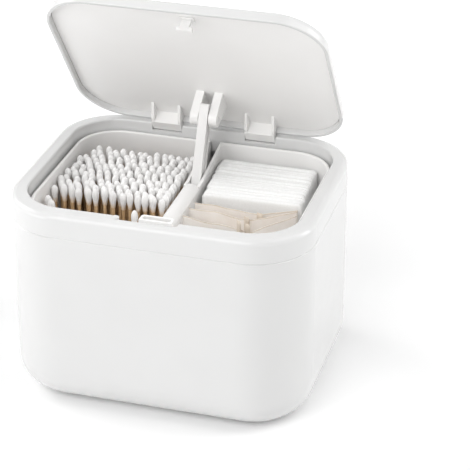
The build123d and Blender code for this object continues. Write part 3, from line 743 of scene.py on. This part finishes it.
builder = bmesh.new()
for number, points in enumerate(pads):
    press_pad(builder, points, number)
bmesh.ops.remove_doubles(builder, verts=builder.verts, dist=0.002 * mm)
pad_stack = linked_object("cotton_pad_stack", smooth_mesh(builder, "cotton_pad_stack"))
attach(pad_stack, "tray")
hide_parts("cotton_pads")
pad_cotton = cotton_finish(
    "pressed_cotton", (0.90, 0.90, 0.89), (0.95, 0.95, 0.945), tuft_height=0.04 * mm, fibre_height=0.02 * mm
)
pad_stack.data.materials.append(pad_cotton)
print("pads pressed:", len(pads), "faces:", len(pad_stack.data.polygons))

# %% [markdown]
# ## The line of a sachet
# The beige packs are thin wrappers that stand in a bent row, nipped at their middle. Each could be bent by
# a modifier, but the model's packs already have the crease. Three points in plan, the left end, the crease
# and the right end, make a line that the new paper follows, and the turn at the crease is softened over a
# few millimetres, as paper does.

# %% Follow the crease
crease_soft = 4 * mm
crease_near = 3 * mm
pack_end = 2.5 * mm


def smooth_step(share):
    """Ease a share from 0 to 1 in and out."""
    share = min(1.0, max(0.0, share))
    return share * share * (3 - 2 * share)


def crease_line(points):
    """Left end, crease and right end of a pack's middle line in plan."""
    left, right = ends_in_plan(points, pack_end)
    four_frontmost = points[np.argsort(points[:, 1])[:4]]
    crease_x = four_frontmost[:, 0].mean()
    crease = points[np.abs(points[:, 0] - crease_x) < crease_near].mean(axis=0)
    return [left, Vector((crease[0], crease[1], 0.0)), right]


def line_point(line, share):
    """Point at a share of a two-part line, and the ways along it and out of its front."""
    first = (line[1] - line[0]).length
    second = (line[2] - line[1]).length
    reach = share * (first + second)
    way_in = (line[1] - line[0]).normalized()
    way_out = (line[2] - line[1]).normalized()
    if reach < first:
        place = line[0] + way_in * reach
    else:
        place = line[1] + way_out * (reach - first)
    turned = smooth_step((reach - first + crease_soft) / (2 * crease_soft))
    way = way_in.lerp(way_out, turned).normalized()
    return place, way, Vector((way.y, -way.x, 0.0))


pack_points = {
    number: np.array([corner.co[:] for corner in nodes[f"sachet_{number}"].data.vertices])
    for number in (1, 2, 3)
}
pack_lines = {number: crease_line(points) for number, points in pack_points.items()}
for number, line in pack_lines.items():
    print(f"sachet {number} bends at", [round(value / mm, 1) for value in line[1][:2]], "mm")

# %% [markdown]
# ## Seam flaps
# A fin seam closes each wrapper down its front: two layers of paper pressed flat, which stand off a little
# and poke up at the top. It could be drawn on as a darker stripe, but its shadow is what tells a seam from
# a stripe. So it is a narrow strip of its own, two grids a quarter of a millimetre apart with a rim between
# them. Its quads take the second, darker material, partly for the two layers of paper and partly as painted
# shade of the folded, overlapping paper.

# %% Strip that stands off the pack
fin_half_skin = 0.12 * mm
fin_stand_off = 0.8 * mm
fin_foot = 0.4 * mm
fin_shorter = 1.0 * mm
fin_wave = 0.6 * mm
fin_columns = 6
fin_rows = 24


def close_rim(builder, back, front):
    """Quads between the rims of two grids of the same size."""
    def rim_of(grid):
        right_side = [row[-1] for row in grid[1:-1]]
        left_side = [row[0] for row in grid[1:-1]]
        return grid[0] + right_side + grid[-1][::-1] + left_side[::-1]

    back_rim, front_rim = rim_of(back), rim_of(front)
    quads = []
    for number in range(len(back_rim)):
        corners = (back_rim[number - 1], back_rim[number], front_rim[number], front_rim[number - 1])
        quads.append(builder.faces.new(corners))
    return quads


def add_fin(builder, line, share, width, spread, bottom, top, seed):
    """Seam flap on the pack's front; `spread` is its angle from the pack in degrees."""
    place, way, out = line_point(line, share)
    angle = math.radians(spread)
    reach = way * math.cos(angle) + out * math.sin(angle)
    skin = Vector((-reach.y, reach.x, 0.0)) * fin_half_skin
    layers = []
    for face in (-1, 1):
        grid = []
        for row in range(fin_rows + 1):
            v = row / fin_rows
            strip = []
            for column in range(fin_columns + 1):
                u = column / fin_columns
                curl = fin_wave * noise.noise(seed + Vector((share * 9.0, v * 3.0, u)))
                rise = fin_wave * noise.noise(seed + Vector((u * 3.0, 4.0, share * 7.0))) * v
                height = bottom + fin_foot + (top - bottom - fin_shorter) * v + rise
                spot = place + out * (fin_stand_off + 1.5 * curl * u) + reach * (width * u)
                strip.append(builder.verts.new(Vector((spot.x, spot.y, height)) + skin * face))
            grid.append(strip)
        layers.append(grid)
    back, front = layers
    quads = skin_grid(builder, back, turned=True) + skin_grid(builder, front, turned=False)
    for quad in quads + close_rim(builder, back, front):
        quad.material_index = 1


print("a seam flap is", round(2 * fin_half_skin / mm, 2), "mm thick")

# %% [markdown]
# ## Sachets
# A sachet is flat with crimped ends and a soft filling, and its top edge waves. Cloth with pressure inside
# would swell it, but a shape made by formula is exact and instant: two sheets of quads follow the crease,
# held apart by a soft thickness that closes to nothing at the seals, and two noises crumple both together.
# The rows lie close at the welded top, which takes the seam's darker material, with its painted shade.

# %% Fold the sachets
pack_columns = 64
pack_rows = 28
end_crimp = 0.12
seal_height = 0.03
seal_fade = 0.13
welded_edge = 0.6 * mm
seal_skin = 0.10 * mm
filling = 0.8 * mm
crumple = 0.7 * mm
top_wave = 1.1 * mm
top_sag = 0.8 * mm


def pack_offsets(seed, u, v, face):
    """How far a point of a pack lies out of its line, and how much its height waves."""
    from_ends = min(u, 1 - u) / end_crimp
    from_seals = (min(v, 1 - v) - seal_height) / seal_fade
    lumps = noise.noise(seed + Vector((u * 6.0, v * 3.0, face * 0.4)))
    thick = seal_skin + filling * smooth_step(min(from_ends, from_seals)) * (0.75 + 0.5 * lumps)
    wave = noise.noise(seed + Vector((u * 3.2, v * 1.6, 7.0)))
    wave += 0.5 * noise.noise(seed + Vector((u * 11.0, v * 5.0, 3.0)))
    rise = top_wave * noise.noise(seed + Vector((u * 5.0, 2.0, 1.0))) - top_sag
    return crumple * wave + face * thick, rise * v


def fold_sachet(name, number, flaps):
    """One flat pack with crimped ends, and seam flaps of (share, width, spread, rise above the top)."""
    line = pack_lines[number]
    bottom, top = pack_points[number][:, 2].min(), pack_points[number][:, 2].max()
    edge = welded_edge / (top - bottom)
    levels = [0.0, *(edge + (1 - 2 * edge) * row / pack_rows for row in range(pack_rows + 1)), 1.0]
    seed = Vector((number * 5.3, 2.9, 4.4))
    builder = bmesh.new()
    sheets = []
    for face in (-1, 1):
        grid = []
        for v in levels:
            row = []
            for column in range(pack_columns + 1):
                u = column / pack_columns
                place, _, out = line_point(line, u)
                offset, rise = pack_offsets(seed, u, v, face)
                height = bottom + (top - bottom) * v + rise
                row.append(builder.verts.new(Vector((place.x, place.y, height)) + out * offset))
            grid.append(row)
        sheets.append(grid)
        for quad in skin_grid(builder, grid, turned=face < 0)[-pack_columns:]:
            quad.material_index = 1
    close_rim(builder, *sheets)
    for share, width, spread, rise in flaps:
        add_fin(builder, line, share, width, spread, bottom, top + rise, seed)
    return linked_object(name, smooth_mesh(builder, name))


flaps_of_sachet = {
    1: [(0.615, 4.0 * mm, 18, 1.2 * mm)],
    2: [(0.52, 3.4 * mm, 18, 1.8 * mm)],
    3: [(0.455, 3.4 * mm, 24, 5.6 * mm), (0.52, 3.6 * mm, 16, 4.6 * mm)],
}
sachets = []
for number, flaps in flaps_of_sachet.items():
    sachet = fold_sachet(f"paper_sachet_{number}", number, flaps)
    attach(sachet, "tray")
    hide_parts(f"sachet_{number}")
    sachets.append(sachet)
    print(sachet.name, "has", len(flaps), "seam flaps and", len(sachet.data.polygons), "faces")

# %% [markdown]
# ## Wrapper paper
# The wrapper is a thin non-woven paper, warm beige and soft at its folds. One flat colour would make it
# plastic, so broad creases and a crossed fibre pattern, finer than half a millimetre, give it life; the
# colour is darker in the low folds of the creases, which is painted shade. The tones are set lighter than
# the paper's own, painted light for the glow through the thin paper where the ring's wall shades the packs.
# A seam has two layers of paper pressed flat, and gets the same recipe with deeper tones, partly painted
# shade of the folds.

# %% Beige paper
def wrapper_paper(name, dark, light):
    """Thin creased paper in two close tones."""
    material, tree, shader = material_with_shader(name)
    shader.inputs["Specular IOR Level"].default_value = 0.35
    shader.inputs["Sheen Weight"].default_value = 0.1
    # The colour follows the crease noise, darker in the low folds, which is painted shade.
    creases_and_fold_shade = noise_node(tree, 9 * mm, detail=4.0)
    fibre = noise_node(tree, 0.4 * mm, detail=3.0, stretch=(2.0, 2.0, 1.0))
    vary_colour(tree, shader, creases_and_fold_shade, dark, light)
    vary_roughness(tree, shader, fibre, 0.48, 0.68)
    add_bump(tree, shader, creases_and_fold_shade, 0.4 * mm)
    add_bump(tree, shader, fibre, 0.03 * mm)
    return material


# Painted light: the tones are set lighter than the paper's own, for the glow through the thin paper.
wrapper = wrapper_paper("beige_wrapper", (0.94, 0.875, 0.81), (0.975, 0.935, 0.89))
seam_paper_and_shade = wrapper_paper("beige_seam_and_shade", (0.66, 0.57, 0.47), (0.78, 0.69, 0.59))
for sachet in sachets:
    sachet.data.materials.append(wrapper)
    sachet.data.materials.append(seam_paper_and_shade)
print(wrapper.name, "and", seam_paper_and_shade.name, "are on", len(sachets), "sachets")
